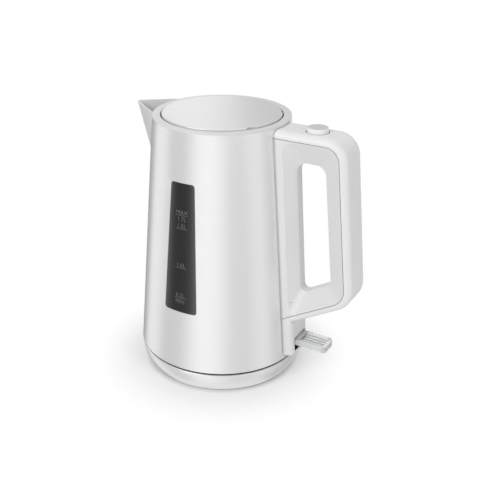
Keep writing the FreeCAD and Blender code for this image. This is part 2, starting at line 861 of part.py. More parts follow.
def base_connector():
    """Round contact column of the base, with a centre hole, a ring groove and a flange under the cover."""
    foot_r = column_r - 4
    flange_r = shutter_r + 7.4
    return turned([
        (centre_hole_r, base_plate_z),
        (foot_r, base_plate_z),
        (foot_r, tray_low_z - 2),
        (flange_r, tray_low_z - 2),
        (flange_r, tray_low_z),
        (column_r, tray_low_z),
        (column_r, column_top_z - 2),
        ((column_r - 0.6, column_top_z - 0.6), (column_r - 2, column_top_z)),
        (groove_r[1], column_top_z),
        (groove_r[1], groove_low_z),
        (groove_r[0], groove_low_z),
        (groove_r[0], column_top_z),
        (centre_hole_r, column_top_z),
    ])


def base_contacts():
    """Centre sleeve and ring contact of the column."""
    inner_r = centre_hole_r / 2 + loose
    top_z = column_top_z - 5.5
    outer_r = centre_hole_r
    sleeve = turned([(inner_r, base_plate_z), (outer_r, base_plate_z), (outer_r, top_z), (inner_r, top_z)])
    ring_z = groove_low_z + 2
    near_r, far_r = groove_r
    ring = turned([(near_r, groove_low_z), (far_r, groove_low_z), (far_r, ring_z), (near_r, ring_z)])
    return Part.makeCompound([sleeve, ring])


def contact_shutter():
    """Loose ring round the column that closes the gap in the tray and turns with the jug."""
    inner_r = column_r + loose / 2
    return turned([
        (inner_r, tray_low_z),
        (shutter_r, tray_low_z),
        (shutter_r, floor_low_z - 0.8),
        ((shutter_r - 0.2, floor_low_z - 0.2), (shutter_r - 0.8, floor_low_z)),
        (inner_r, floor_low_z),
    ])


def cord_gland():
    """Grommet in the back of the base where the mains cord enters."""
    inner, outer = V(0, tray_r - 1, gland_z), V(0, base_edge_r - 1.2, gland_z)
    return rod(gland_r, inner, outer).cut(rod(gland_bore_r, inner, outer))


# Jug
shell = cone_wall(body_low_z, shell_top_z, 0, wall)
spout_hole = spout_pocket().common(block((spout_tip_x, 0), (-rim_r, rim_r), spout_hole_z))
slot_half = slider_half + loose
slot_z = (slider_low_z - loose, slider_nose_z + loose)
slider_slot = block((hinge_x, body_low_r), (-slot_half, slot_half), slot_z)
parts["body_shell"] = cut_all(shell, [window_prism(0), spout_hole, slider_slot])
parts["top_ring"] = top_ring()
parts["spout"] = spout_outside().cut(spout_pocket()).cut(envelope)
parts["spout_filter"] = spout_filter()
parts["water_window"] = water_window()
parts["heating_plate"] = heating_plate()
parts["plate_seal"] = plate_seal()
parts["heating_element"] = heating_element()
parts["bottom_cover"] = bottom_cover()
parts["bottom_screws"] = bottom_screws()
parts["socket_body"] = socket_body()
parts["socket_contacts"] = socket_contacts()
parts["handle_inner"] = handle_inner()
parts["handle_cover"] = handle_cover()
parts["handle_screws"] = handle_screws()
parts["steam_tube"] = steam_tube()
parts["steam_switch"] = steam_switch()
parts["lever_pin"] = lever_pin()

# Lid and its controls
parts["lid_cover"] = lid_cover()
parts["lid_plug"] = lid_plug()
parts["lid_seal"] = lid_seal()
parts["lid_hinge_pins"] = Part.makeCompound(hinge_pins(hinge_pin_r))
parts["lid_button"] = lid_button()
parts["release_slider"] = release_slider()
parts["switch_lever"] = switch_lever()

# Base
parts["base_cover"] = base_cover()
parts["base_plate"] = base_plate()
parts["base_screws"] = base_screws()
parts["base_feet"] = base_feet()
parts["base_connector"] = base_connector()
parts["base_contacts"] = base_contacts()
parts["contact_shutter"] = contact_shutter()
parts["cord_gland"] = cord_gland()

for name, shape in parts.items():
    print(name, len(shape.Solids), shape.isValid(), round(shape.Volume))
    shape.exportStep("parts/" + name + ".step")
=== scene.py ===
"""Looks of a cordless electric kettle: white mouldings, a smoked level window and a clear switch paddle.

Metres, in the frame of the solids: +Z up, the handle to +X, the spout to -X, the level window to -Y.
"""
import bpy
import bmesh
import json
import math
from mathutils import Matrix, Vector


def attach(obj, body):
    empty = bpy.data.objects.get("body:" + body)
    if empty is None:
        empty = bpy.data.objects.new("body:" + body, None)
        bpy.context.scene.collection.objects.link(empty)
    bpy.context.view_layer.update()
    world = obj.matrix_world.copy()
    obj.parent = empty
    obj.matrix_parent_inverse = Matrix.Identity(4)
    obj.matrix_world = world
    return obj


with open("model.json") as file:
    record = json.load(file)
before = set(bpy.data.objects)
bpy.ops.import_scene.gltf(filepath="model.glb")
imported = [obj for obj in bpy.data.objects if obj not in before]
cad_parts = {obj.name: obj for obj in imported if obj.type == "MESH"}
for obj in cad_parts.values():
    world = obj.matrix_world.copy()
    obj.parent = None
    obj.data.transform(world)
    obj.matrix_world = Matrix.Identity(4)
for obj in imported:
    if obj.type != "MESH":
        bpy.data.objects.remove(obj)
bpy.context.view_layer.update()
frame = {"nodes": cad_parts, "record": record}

# The jug's outer cone, as radius and height at its lower edge and at its rim
CONE_LOW = (0.08025, 0.023)
CONE_RIM = (0.0631, 0.2507)

# The camera that took the photograph
CAMERA_AIM = Vector((0, 0, 0.132))
CAMERA_AZIMUTH = math.radians(31.0)
CAMERA_ELEVATION = math.radians(24.72)
CAMERA_DISTANCE = 0.7685
CAMERA_LENS = 57.23
CAMERA_SENSOR = 36.0
CAMERA_SHIFT = (0.056, -0.0361)
CAMERA_NEAREST = 0.01

# Level marks on the window: height of the stroke, words above it, words below it
LEVEL_MARKS = (
    (0.1746, "MAX", "1.7L"),
    (0.1620, "1.5L", ""),
    (0.1245, "1.0L", ""),
    (0.0948, "0.5L", "MIN"),
)
# How far the pane is sunk in the wall, and how far the print stands off the pane
MARK_SINK = 0.00035
MARK_LIFT = 0.00006
# Letter size, the share of it that a capital is tall, and the gap between words and stroke
MARK_LETTER = 0.0055
MARK_CAPITAL = 0.72
MARK_GAP = 0.0011
# Width and height of a stroke, and how finely strokes and letters are divided
MARK_STROKE = (0.0124, 0.00042)
STROKE_STEPS = 8
LETTER_STEPS = 3

# The window's half width at table level, how much it narrows with height, and how steeply its sides pale
PANE_HALF = 0.0207
PANE_TAPER = 0.0425
PANE_FALL = 4.0

# The switch's slot in the handle's column, a tenth of a millimetre past its faces: half width, floor, roof
SLOT_HALF = 0.0111
SLOT_HEIGHTS = (0.0319, 0.0453)
# Colour of the painted shade inside the slot
PAINTED_SLOT_SHADE = (0.012, 0.012, 0.012)

# A face of the lid button counts as its flat top from this upward lean on
BUTTON_FLAT = 0.97

# Screw heads: ring radius, height and angles under the jug and under the base
JUG_SCREWS = (0.0492, 0.0192, (60, 180, 300))
BASE_SCREWS = (0.0550, 0.0011, (30, 150, 270))
# Two more heads on the lower arm of the handle, and the way they face
ARM_SCREWS = ((0.099899, 0, 0.072868), (0.117899, 0, 0.083363))
ARM_FACING = (0.5037, 0, -0.8639)
# The cross in each head: a thin dark sheet, painted shade of the drive recess
DRIVE_LENGTH = 0.0034
DRIVE_WIDTH = 0.0007
DRIVE_DEPTH = 0.0001

# Sockets of a Mix node that hold its two colours and the result
MIX_FIRST = 6
MIX_SECOND = 7
MIX_RESULT = 2

# Moulded grain: its detail and depth, and the wide clouds that vary tone and gloss
GRAIN_DETAIL = 3.0
GRAIN_DEPTH = 0.0003
CLOUD_SCALE = 23.0
CLOUD_DETAIL = 4.0

# Edges paler from wear and painted highlight, painted shade in seams, and rounded shading
EDGE_SAMPLES = 16
EDGE_GAIN = 5.0
RUB_SCALE = 60.0
SEAM_SAMPLES = 8
ROUND_SAMPLES = 12

# Clear mouldings: flow marks, painted shade in their seams, and how they bend light
FLOW_MARKS = {"Grain Size": 700.0, "Tone Amount": 0.12, "Gloss Amount": 0.08}
CLEAR_SEAMS = {"Seam Reach": 0.0012, "Shade Amount": 1.2}
CLEAR_BEND = 1.49

# Circular brushing on steel: fineness, waviness, detail, darkest tone, and how much tone and gloss vary
BRUSH_SCALE = 320.0
BRUSH_WAVINESS = 3.0
BRUSH_DETAIL = 3.0
BRUSH_DARKEST = 0.92
BRUSH_TONE = 0.12
BRUSH_GLOSS = 0.14

# Light tents round the jug: low and high edge, then the angle from the window side towards the handle
# with how bright the panel is there; the low one shows in the wall, the high one in the lid
TENT_RADIUS = 0.20
TENT_SIDES = 96
LOW_TENT = (-0.30, 0.255)
LOW_PANELS = (
    (-178, 0.95), (-160, 0.70), (-142, 0.32), (-128, 0.24), (-100, 0.24),
    (-87, 0.45), (-72, 1.00), (-56, 0.94), (-41, 0.52), (-25, 0.50),
    (-12, 0.74), (0, 1.06), (11, 1.18), (23, 1.10), (34, 0.90),
    (45, 0.68), (56, 0.66), (68, 0.80), (80, 0.92), (94, 0.66),
    (110, 0.50), (129, 0.36), (148, 0.42), (166, 0.85), (178, 0.95),
)
HIGH_TENT = (0.255, 0.52)
HIGH_PANELS = (
    (-178, 0.46), (-164, 0.50), (-150, 0.90), (-136, 1.08), (-120, 0.84), (0, 0.80), (178, 0.46),
)
# The brightness that the top of a panel curve stands for
PANEL_RANGE = 2.0

# Floor: half its width, its paper, and the distances from the axis between which it turns plain white
FLOOR_REACH = 3.0
FLOOR_PAPER = (0.95, 0.95, 0.95)
FLOOR_ROUGHNESS = 0.9
FLOOR_SHINE = 0.1
FLOOR_FADE = (0.064, 0.134)
# Painted shade where the base comes near the paper
CONTACT_REACH = 0.005
CONTACT_SHADE = 0.4

# Light that the white room gives, where one is how bright it looks
ROOM_LIGHT = 0.42

# Lamps: name, place, aim, size, watts, and whether shiny pieces mirror it
LAMPS = (
    ("key_box", (-0.3, -1.45, 1.15), (0, 0, 0.12), (0.9, 0.9), 12.5, True),
    ("side_box", (1.3, -0.5, 0.7), (0.03, 0, 0.12), (0.5, 1.0), 4.0, True),
    ("top_box", (-0.2, 0.3, 1.5), (0, 0, 0.1), (1.2, 1.2), 4.2, False),
    ("back_box", (0.4, 1.4, 0.9), (0, 0, 0.12), (0.9, 0.9), 4.5, False),
)


def cone_radius(z):
    """Radius of the jug's outer face at a height."""
    share = (z - CONE_LOW[1]) / (CONE_RIM[1] - CONE_LOW[1])
    return CONE_LOW[0] + share * (CONE_RIM[0] - CONE_LOW[0])


def placed(name, data):
    """New object in the scene, at the origin."""
    thing = bpy.data.objects.new(name, data)
    bpy.context.collection.objects.link(thing)
    return thing


def settled_mesh(holder):
    """Plain mesh of what an object's words or nodes come to; the object itself is taken away."""
    bpy.context.view_layer.update()
    settled = holder.evaluated_get(bpy.context.evaluated_depsgraph_get())
    mesh = bpy.data.meshes.new_from_object(settled)
    bpy.data.objects.remove(holder)
    return mesh


# Shader groups that several finishes share

def new_group(name, inputs, outputs):
    """Shader node group with plain number sockets; returns the tree with its input and output nodes."""
    tree = bpy.data.node_groups.new(name, "ShaderNodeTree")
    for label in inputs:
        tree.interface.new_socket(label, in_out="INPUT", socket_type="NodeSocketFloat")
    for label in outputs:
        tree.interface.new_socket(label, in_out="OUTPUT", socket_type="NodeSocketFloat")
    return tree, tree.nodes.new("NodeGroupInput"), tree.nodes.new("NodeGroupOutput")


def math_node(tree, operation, first, second, clamp=False):
    """Math node with links or plain numbers on its two inputs; returns its output."""
    node = tree.nodes.new("ShaderNodeMath")
    node.operation = operation
    node.use_clamp = clamp
    for socket, value in zip(node.inputs, (first, second)):
        if isinstance(value, (int, float)):
            socket.default_value = value
        else:
            tree.links.new(value, socket)
    return node.outputs[0]


def make_grain_group():
    """Fine moulded grain: a height for bump, a tone round one, and a gloss round nought."""
    tree, inlet, outlet = new_group(
        "moulded_grain", ("Grain Size", "Tone Amount", "Gloss Amount"), ("Height", "Tone", "Gloss"))
    place = tree.nodes.new("ShaderNodeTexCoord")
    fine = tree.nodes.new("ShaderNodeTexNoise")
    fine.inputs["Detail"].default_value = GRAIN_DETAIL
    tree.links.new(place.outputs["Object"], fine.inputs["Vector"])
    tree.links.new(inlet.outputs["Grain Size"], fine.inputs["Scale"])
    cloud = tree.nodes.new("ShaderNodeTexNoise")
    cloud.inputs["Scale"].default_value = CLOUD_SCALE
    cloud.inputs["Detail"].default_value = CLOUD_DETAIL
    tree.links.new(place.outputs["Object"], cloud.inputs["Vector"])
    centred = math_node(tree, "SUBTRACT", cloud.outputs["Fac"], 0.5)
    tone = math_node(tree, "MULTIPLY", centred, inlet.outputs["Tone Amount"])
    gloss = math_node(tree, "MULTIPLY", centred, inlet.outputs["Gloss Amount"])
    tree.links.new(fine.outputs["Fac"], outlet.inputs["Height"])
    tree.links.new(math_node(tree, "ADD", tone, 1.0), outlet.inputs["Tone"])
    tree.links.new(gloss, outlet.inputs["Gloss"])
    return tree


def make_edge_group():
    """Mask that rises along sharp edges, broken up as handling rubs them; the paler edges it gives are
    partly wear and partly painted highlight.
    """
    tree, inlet, outlet = new_group("wear_and_highlight_edges", ("Edge Width",), ("Mask",))
    soft = tree.nodes.new("ShaderNodeBevel")
    soft.samples = EDGE_SAMPLES
    tree.links.new(inlet.outputs["Edge Width"], soft.inputs["Radius"])
    true = tree.nodes.new("ShaderNodeNewGeometry")
    dot = tree.nodes.new("ShaderNodeVectorMath")
    dot.operation = "DOT_PRODUCT"
    tree.links.new(soft.outputs["Normal"], dot.inputs[0])
    tree.links.new(true.outputs["Normal"], dot.inputs[1])
    off = math_node(tree, "SUBTRACT", 1.0, dot.outputs["Value"])
    strong = math_node(tree, "MULTIPLY", off, EDGE_GAIN, clamp=True)
    place = tree.nodes.new("ShaderNodeTexCoord")
    patch = tree.nodes.new("ShaderNodeTexNoise")
    patch.inputs["Scale"].default_value = RUB_SCALE
    tree.links.new(place.outputs["Object"], patch.inputs["Vector"])
    tree.links.new(math_node(tree, "MULTIPLY", strong, patch.outputs["Fac"]), outlet.inputs["Mask"])
    return tree


def make_seam_group(name, own_only):
    """Painted shade: tone that falls in narrow seams, of the piece alone or also against its neighbours.
    """
    tree, inlet, outlet = new_group(name, ("Seam Reach", "Shade Amount"), ("Tone",))
    near = tree.nodes.new("ShaderNodeAmbientOcclusion")
    near.samples = SEAM_SAMPLES
    near.only_local = own_only
    tree.links.new(inlet.outputs["Seam Reach"], near.inputs["Distance"])
    closed = math_node(tree, "SUBTRACT", 1.0, near.outputs["AO"])
    shade = math_node(tree, "MULTIPLY", closed, inlet.outputs["Shade Amount"])
    tree.links.new(math_node(tree, "SUBTRACT", 1.0, shade, clamp=True), outlet.inputs["Tone"])
    return tree


GRAIN = make_grain_group()
EDGES = make_edge_group()
# Painted shade in seams: within one piece, and also between neighbouring pieces
SEAMS = make_seam_group("painted_seam_shade", True)
JOINTS = make_seam_group("painted_joint_shade", False)


# Finishes

def place_group(tree, group, values):
    """Group node with its named inputs set."""
    node = tree.nodes.new("ShaderNodeGroup")
    node.node_tree = group
    for label, value in values.items():
        node.inputs[label].default_value = value
    return node


def new_material(name):
    """Node material with a Principled shader; returns material, tree and shader."""
    material = bpy.data.materials.new(name)
    material.use_nodes = True
    tree = material.node_tree
    return material, tree, tree.nodes["Principled BSDF"]


def own_axes(tree):
    """The piece's own X, Y and Z, as sockets."""
    place = tree.nodes.new("ShaderNodeTexCoord")
    split = tree.nodes.new("ShaderNodeSeparateXYZ")
    tree.links.new(place.outputs["Object"], split.inputs[0])
    return split.outputs


def toned(tree, colour, tone):
    """Colour times a varying tone, as a socket."""
    node = tree.nodes.new("ShaderNodeVectorMath")
    node.operation = "SCALE"
    node.inputs[0].default_value = colour
    tree.links.new(tone, node.inputs["Scale"])
    return node.outputs[0]


def mixed(tree, factor, first, second):
    """Colour mix of a socket and a plain colour by a mask."""
    node = tree.nodes.new("ShaderNodeMix")
    node.data_type = "RGBA"
    tree.links.new(factor, node.inputs["Factor"])
    tree.links.new(first, node.inputs[MIX_FIRST])
    node.inputs[MIX_SECOND].default_value = (*second, 1.0)
    return node.outputs[MIX_RESULT]


def lay_over(material, mask, colour):
    """Plain colour over a finish, where a mask is one."""
    tree = material.node_tree
    base = tree.nodes["Principled BSDF"].inputs["Base Color"]
    under = base.links[0].from_socket
    tree.links.new(mixed(tree, mask, under, colour), base)


def moulding(name, colour, roughness, wear_and_highlight=None, edge=0.0007, grain=1400.0, bump=0.003, tone=0.02,
             uneven=0.06, metal=0.0, seam=0.6, reach=0.0016, rounding=0.0, shade_group=SEAMS):
    """Moulded or painted finish: fine grain, uneven gloss, painted shade in seams, and edges paler from
    wear and painted highlight.
    """
    material, tree, shader = new_material(name)
    grain_values = {"Grain Size": grain, "Tone Amount": tone, "Gloss Amount": uneven}
    grain_node = place_group(tree, GRAIN, grain_values)
    seam_node = place_group(tree, shade_group, {"Seam Reach": reach, "Shade Amount": seam})
    full_tone = math_node(tree, "MULTIPLY", grain_node.outputs["Tone"], seam_node.outputs["Tone"])
    shade = toned(tree, colour, full_tone)
    # Edges paler from wear and painted highlight
    if wear_and_highlight:
        edge_node = place_group(tree, EDGES, {"Edge Width": edge})
        shade = mixed(tree, edge_node.outputs["Mask"], shade, wear_and_highlight)
    tree.links.new(shade, shader.inputs["Base Color"])
    gloss = math_node(tree, "ADD", grain_node.outputs["Gloss"], roughness)
    tree.links.new(gloss, shader.inputs["Roughness"])
    relief = tree.nodes.new("ShaderNodeBump")
    relief.inputs["Strength"].default_value = bump
    relief.inputs["Distance"].default_value = GRAIN_DEPTH
    tree.links.new(grain_node.outputs["Height"], relief.inputs["Height"])
    if rounding:
        soft = tree.nodes.new("ShaderNodeBevel")
        soft.samples = ROUND_SAMPLES
        soft.inputs["Radius"].default_value = rounding
        tree.links.new(soft.outputs["Normal"], relief.inputs["Normal"])
    tree.links.new(relief.outputs["Normal"], shader.inputs["Normal"])
    shader.inputs["Metallic"].default_value = metal
    return material


def two_tone_button(name, side, top, roughness):
    """Button finish: pale sides and a greyer pad on the flat top."""
    material = moulding(name, side, roughness)
    tree = material.node_tree
    facing = tree.nodes.new("ShaderNodeNewGeometry")
    split = tree.nodes.new("ShaderNodeSeparateXYZ")
    tree.links.new(facing.outputs["True Normal"], split.inputs[0])
    lay_over(material, math_node(tree, "GREATER_THAN", split.outputs["Z"], BUTTON_FLAT), top)
    return material


def clear_plastic(name, colour, roughness, see_through):
    """Clear or smoked moulding with faint flow marks in its gloss and painted shade in its seams."""
    material, tree, shader = new_material(name)
    grain_node = place_group(tree, GRAIN, FLOW_MARKS)
    seam_node = place_group(tree, SEAMS, CLEAR_SEAMS)
    tone = math_node(tree, "MULTIPLY", grain_node.outputs["Tone"], seam_node.outputs["Tone"])
    tree.links.new(toned(tree, colour, tone), shader.inputs["Base Color"])
    gloss = math_node(tree, "ADD", grain_node.outputs["Gloss"], roughness)
    tree.links.new(gloss, shader.inputs["Roughness"])
    shader.inputs["Transmission Weight"].default_value = see_through
    shader.inputs["IOR"].default_value = CLEAR_BEND
    return material


def smoked_pane(name, middle, sides, roughness):
    """Smoked window, paler along its two upright edges where the wall shows through."""
    material = clear_plastic(name, middle, roughness, 0.0)
    tree = material.node_tree
    axes = own_axes(tree)
    across = math_node(tree, "ABSOLUTE", axes["X"], 0.0)
    narrowing = math_node(tree, "MULTIPLY", axes["Z"], PANE_TAPER)
    half = math_node(tree, "SUBTRACT", PANE_HALF, narrowing)
    near = math_node(tree, "DIVIDE", across, half)
    lay_over(material, math_node(tree, "POWER", near, PANE_FALL, clamp=True), sides)
    return material


def brushed_steel(name, colour, roughness):
    """Steel with fine circular brushing."""
    material, tree, shader = new_material(name)
    place = tree.nodes.new("ShaderNodeTexCoord")
    rings = tree.nodes.new("ShaderNodeTexWave")
    rings.wave_type = "RINGS"
    rings.rings_direction = "Z"
    rings.inputs["Scale"].default_value = BRUSH_SCALE
    rings.inputs["Distortion"].default_value = BRUSH_WAVINESS
    rings.inputs["Detail"].default_value = BRUSH_DETAIL
    tree.links.new(place.outputs["Object"], rings.inputs["Vector"])
    lighter = math_node(tree, "MULTIPLY", rings.outputs["Fac"], BRUSH_TONE)
    tone = math_node(tree, "ADD", lighter, BRUSH_DARKEST)
    tree.links.new(toned(tree, colour, tone), shader.inputs["Base Color"])
    duller = math_node(tree, "MULTIPLY", rings.outputs["Fac"], BRUSH_GLOSS)
    tree.links.new(math_node(tree, "ADD", duller, roughness), shader.inputs["Roughness"])
    shader.inputs["Metallic"].default_value = 1.0
    return material


def paint_slot_shade(material):
    """Painted shade inside the switch's slot, on a finish that reaches into it."""
    tree = material.node_tree
    axes = own_axes(tree)
    handle_side = math_node(tree, "GREATER_THAN", axes["X"], 0.0)
    across = math_node(tree, "ABSOLUTE", axes["Y"], 0.0)
    between = math_node(tree, "LESS_THAN", across, SLOT_HALF)
    over_floor = math_node(tree, "GREATER_THAN", axes["Z"], SLOT_HEIGHTS[0])
    under_roof = math_node(tree, "LESS_THAN", axes["Z"], SLOT_HEIGHTS[1])
    mask = handle_side
    for side in (between, over_floor, under_roof):
        mask = math_node(tree, "MULTIPLY", mask, side)
    lay_over(material, mask, PAINTED_SLOT_SHADE)


DARK_TEXTURE = {"grain": 1100.0, "bump": 0.03, "tone": 0.10}
GREY_TEXTURE = {"grain": 1100.0, "bump": 0.015, "tone": 0.04}

FINISHES = {
    "white_shell": moulding(
        "pearl_white_shell", (0.82, 0.82, 0.825), 0.25, metal=0.5, uneven=0.02, shade_group=JOINTS),
    "white_ring": moulding(
        "satin_white_ring", (0.69, 0.69, 0.695), 0.40, wear_and_highlight=(0.80, 0.80, 0.80), shade_group=JOINTS),
    "white_spout": moulding(
        "satin_white_spout", (0.70, 0.70, 0.705), 0.38, wear_and_highlight=(0.82, 0.82, 0.82)),
    "white_lid": moulding(
        "pearl_white_lid", (0.78, 0.78, 0.785), 0.30, wear_and_highlight=(0.97, 0.97, 0.97), edge=0.0013,
        metal=0.4, uneven=0.02),
    "white_handle_inner": moulding(
        "satin_white_grip", (0.75, 0.75, 0.755), 0.45, wear_and_highlight=(0.82, 0.82, 0.82), seam=1.4,
        reach=0.003, shade_group=JOINTS),
    "white_handle_cover": moulding(
        "satin_white_cover", (0.80, 0.80, 0.805), 0.48, wear_and_highlight=(0.84, 0.84, 0.84), metal=0.05,
        seam=1.4, shade_group=JOINTS),
    "white_base": moulding(
        "pearl_white_base", (0.80, 0.80, 0.805), 0.30, metal=0.40, rounding=0.003),
    "white_button": two_tone_button("button_white", (0.88, 0.88, 0.88), (0.62, 0.62, 0.625), 0.34),
    "smoked_window": smoked_pane("smoked_window", (0.012, 0.012, 0.013), (0.10, 0.10, 0.103), 0.20),
    "clear_lever": clear_plastic("clear_paddle", (0.95, 0.96, 0.96), 0.06, 0.60),
    "steel": brushed_steel("brushed_floor_steel", (0.62, 0.61, 0.60), 0.24),
    "screw_steel": brushed_steel("screw_steel", (0.50, 0.50, 0.50), 0.30),
    "aluminium": moulding(
        "cast_aluminium", (0.60, 0.61, 0.62), 0.45, metal=1.0, grain=500.0, bump=0.12, tone=0.10),
    "brass": moulding(
        "contact_brass", (0.70, 0.50, 0.20), 0.30, metal=1.0, grain=800.0, tone=0.10),
    "silicone": moulding(
        "milky_silicone", (0.62, 0.62, 0.61), 0.55, grain=900.0, bump=0.02),
    "foot_rubber": moulding(
        "foot_rubber", (0.035, 0.035, 0.036), 0.70, grain=900.0, bump=0.15, tone=0.15),
    "dark_plastic": moulding("charcoal_moulding", (0.010, 0.010, 0.0105), 0.60, **DARK_TEXTURE),
    "black_plastic": moulding("black_moulding", (0.018, 0.018, 0.018), 0.45, **DARK_TEXTURE),
    "grey_plastic": moulding("grey_moulding", (0.44, 0.44, 0.45), 0.48, **GREY_TEXTURE),
    "grey_mesh": moulding("filter_moulding", (0.36, 0.36, 0.365), 0.50, **GREY_TEXTURE),
}
MARK_PRINT = moulding("mark_print", (0.13, 0.13, 0.134), 0.60, grain=2400.0, bump=0.08, tone=0.30)
# Dark sheet of painted shade for the screw drive recesses
DRIVE_PAINTED_SHADE = moulding("painted_drive_shadow", (0.05, 0.05, 0.05), 0.55, grain=1800.0, bump=0.05, tone=0.2)


def dress_solids():
    """Give every solid the finish that the record names for it."""
    # Painted shade inside the switch's slot, on the two finishes that reach into it
    for slot in ("white_shell", "white_handle_inner"):
        paint_slot_shade(FINISHES[slot])
    for part in frame["record"]["subparts"]:
        mesh = frame["nodes"][part["node"]].data
        mesh.materials.clear()
        mesh.materials.append(FINISHES[part["material_slot"]])


# Level marks, printed on the curved window

def text_outline(words, low_z):
    """Flat mesh of a word, centred on x, standing on a height."""
    curve = bpy.data.curves.new("mark_words", "FONT")
    curve.body = words
    curve.size = MARK_LETTER
    curve.align_x = "CENTER"
    curve.resolution_u = LETTER_STEPS
    shape = bmesh.new()
    shape.from_mesh(settled_mesh(placed("mark_words", curve)))
    for vertex in shape.verts:
        vertex.co = Vector((vertex.co.x, 0, vertex.co.y + low_z))
    return shape


def stroke_outline(low_z):
    """Flat bar across the window, divided so that it can follow the curve."""
    width, height = MARK_STROKE
    shape = bmesh.new()
    rows = []
    for k in range(STROKE_STEPS + 1):
        x = width * (k / STROKE_STEPS - 0.5)
        rows.append([shape.verts.new((x, 0, low_z)), shape.verts.new((x, 0, low_z + height))])
    for left, right in zip(rows, rows[1:]):
        shape.faces.new((left[0], right[0], right[1], left[1]))
    return shape


def wrap_on_window(shape):
    """Bend a flat mark round the jug, a hair in front of the sunk pane."""
    for vertex in shape.verts:
        radius = cone_radius(vertex.co.z) - MARK_SINK + MARK_LIFT
        turn = vertex.co.x / radius
        vertex.co = Vector((radius * math.sin(turn), -radius * math.cos(turn), vertex.co.z))


def level_marks():
    """All strokes and words of the level scale, as one printed layer."""
    merged = bmesh.new()
    for stroke_z, above, below in LEVEL_MARKS:
        shapes = [stroke_outline(stroke_z), text_outline(above, stroke_z + MARK_GAP)]
        if below:
            shapes.append(text_outline(below, stroke_z - MARK_GAP - MARK_CAPITAL * MARK_LETTER))
        for shape in shapes:
            wrap_on_window(shape)
            scratch = bpy.data.meshes.new("scratch_mark")
            shape.to_mesh(scratch)
            merged.from_mesh(scratch)
            shape.free()
            bpy.data.meshes.remove(scratch)
    for face in merged.faces:
        face.normal_update()
        if face.normal.y > 0:
            face.normal_flip()
    mesh = bpy.data.meshes.new("level_marks")
    merged.to_mesh(mesh)
    merged.free()
    mesh.materials.append(MARK_PRINT)
    marks = placed("level_marks", mesh)
    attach(marks, "jug")


# Screw drives, one cross of painted shade in each screw head

def joined(tree, sockets):
    """Join Geometry node over several geometries; returns its output."""
    node = tree.nodes.new("GeometryNodeJoinGeometry")
    for socket in sockets:
        tree.links.new(socket, node.inputs[0])
    return node.outputs[0]


def make_drive_tree():
    """Geometry Nodes tree: a cross of two bars on every point, turned to face the way the point says."""
    tree = bpy.data.node_groups.new("screw_drives", "GeometryNodeTree")
    tree.interface.new_socket("Geometry", in_out="INPUT", socket_type="NodeSocketGeometry")
    for label in ("Bar Length", "Bar Width", "Bar Depth"):
        tree.interface.new_socket(label, in_out="INPUT", socket_type="NodeSocketFloat")
    tree.interface.new_socket("Finish", in_out="INPUT", socket_type="NodeSocketMaterial")
    tree.interface.new_socket("Geometry", in_out="OUTPUT", socket_type="NodeSocketGeometry")
    inlet = tree.nodes.new("NodeGroupInput")
    outlet = tree.nodes.new("NodeGroupOutput")
    bars = []
    for order in (("Bar Length", "Bar Width"), ("Bar Width", "Bar Length")):
        size = tree.nodes.new("ShaderNodeCombineXYZ")
        for axis, label in zip("XYZ", (*order, "Bar Depth")):
            tree.links.new(inlet.outputs[label], size.inputs[axis])
        bar = tree.nodes.new("GeometryNodeMeshCube")
        tree.links.new(size.outputs[0], bar.inputs["Size"])
        bars.append(bar.outputs["Mesh"])
    facing = tree.nodes.new("GeometryNodeInputNamedAttribute")
    facing.data_type = "FLOAT_VECTOR"
    facing.inputs["Name"].default_value = "facing"
    turn = tree.nodes.new("FunctionNodeAlignRotationToVector")
    turn.axis = "Z"
    tree.links.new(facing.outputs["Attribute"], turn.inputs["Vector"])
    spread = tree.nodes.new("GeometryNodeInstanceOnPoints")
    tree.links.new(inlet.outputs["Geometry"], spread.inputs["Points"])
    tree.links.new(joined(tree, bars), spread.inputs["Instance"])
    tree.links.new(turn.outputs["Rotation"], spread.inputs["Rotation"])
    real = tree.nodes.new("GeometryNodeRealizeInstances")
    tree.links.new(spread.outputs["Instances"], real.inputs["Geometry"])
    paint = tree.nodes.new("GeometryNodeSetMaterial")
    tree.links.new(real.outputs["Geometry"], paint.inputs["Geometry"])
    tree.links.new(inlet.outputs["Finish"], paint.inputs["Material"])
    tree.links.new(paint.outputs["Geometry"], outlet.inputs["Geometry"])
    return tree


DRIVE_TREE = make_drive_tree()
DRIVE_VALUES = {
    "Bar Length": DRIVE_LENGTH,
    "Bar Width": DRIVE_WIDTH,
    "Bar Depth": DRIVE_DEPTH,
    "Finish": DRIVE_PAINTED_SHADE,
}


def ring_places(ring):
    """Points on a ring below the solids, all facing down."""
    radius, height, angles = ring
    turns = [math.radians(angle) for angle in angles]
    return [((radius * math.cos(t), radius * math.sin(t), height), (0, 0, -1)) for t in turns]


def screw_drives(name, places, body):
    """Crosses for one body's screws, as a plain mesh that rides with it."""
    points = bpy.data.meshes.new(name + "_points")
    points.from_pydata([place for place, _ in places], [], [])
    facing = points.attributes.new("facing", "FLOAT_VECTOR", "POINT")
    for spot, (_, way) in zip(facing.data, places):
        spot.vector = way
    holder = placed(name + "_points", points)
    modifier = holder.modifiers.new("drives", "NODES")
    modifier.node_group = DRIVE_TREE
    for item in DRIVE_TREE.interface.items_tree:
        if item.in_out == "INPUT" and item.name in DRIVE_VALUES:
            modifier[item.identifier] = DRIVE_VALUES[item.name]
    drives = placed(name, settled_mesh(holder))
    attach(drives, body)


# Studio

